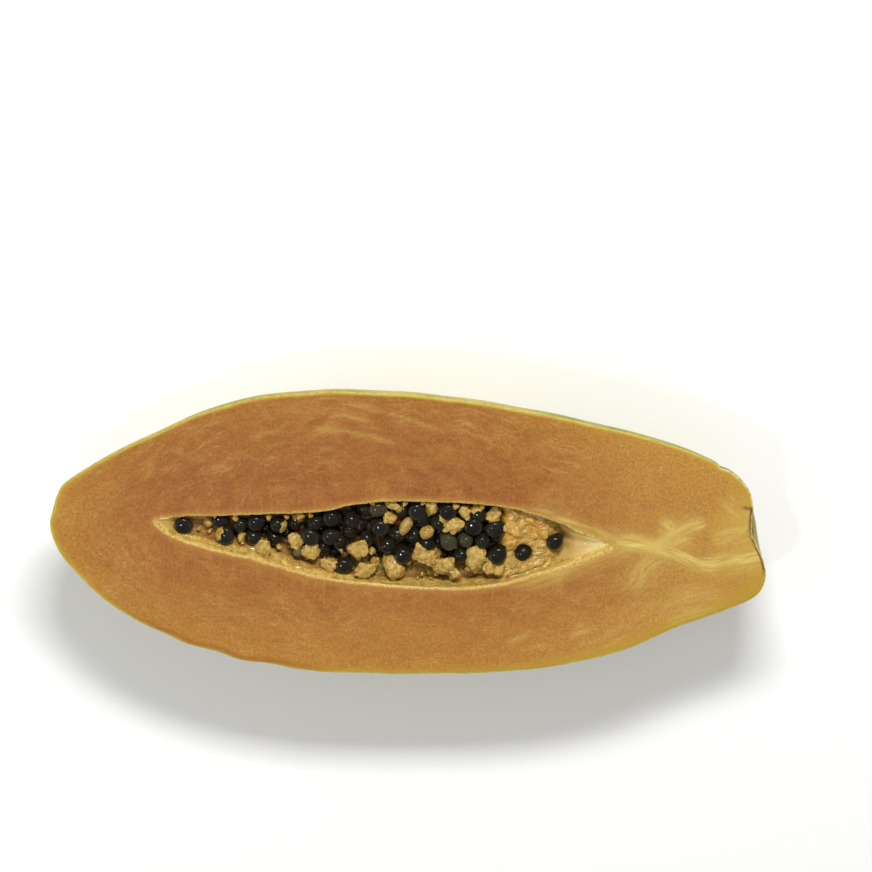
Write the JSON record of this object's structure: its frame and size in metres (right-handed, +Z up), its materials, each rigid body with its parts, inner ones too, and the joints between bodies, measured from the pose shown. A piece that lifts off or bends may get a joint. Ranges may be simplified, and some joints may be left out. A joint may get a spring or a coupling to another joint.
{
  "type": "papaya half",
  "caption": "Long ripe papaya cut lengthwise, lying on its rounded back, with a seed-filled cavity open in the flat cut face.",
  "frame": {"origin": "centre of mass dropped onto the small flat spot on the rounded back that the half rests on", "axes": "+X from the blossom tip to the stem scar, +Y across the cut face towards its thicker wall, +Z up, out of the cut face"},
  "size_m": [0.2505, 0.1013, 0.0484],
  "materials": {
    "flesh": "moist",
    "seed": "wet"
  },
  "bodies": {
    "root": {"papaya_half": "flesh", "seed_mass": "seed", "seed_at_tip": "seed", "seed_on_wall": "seed", "seed_by_pulp": "seed", "seed_in_pocket": "seed"}
  },
  "joints": []
}
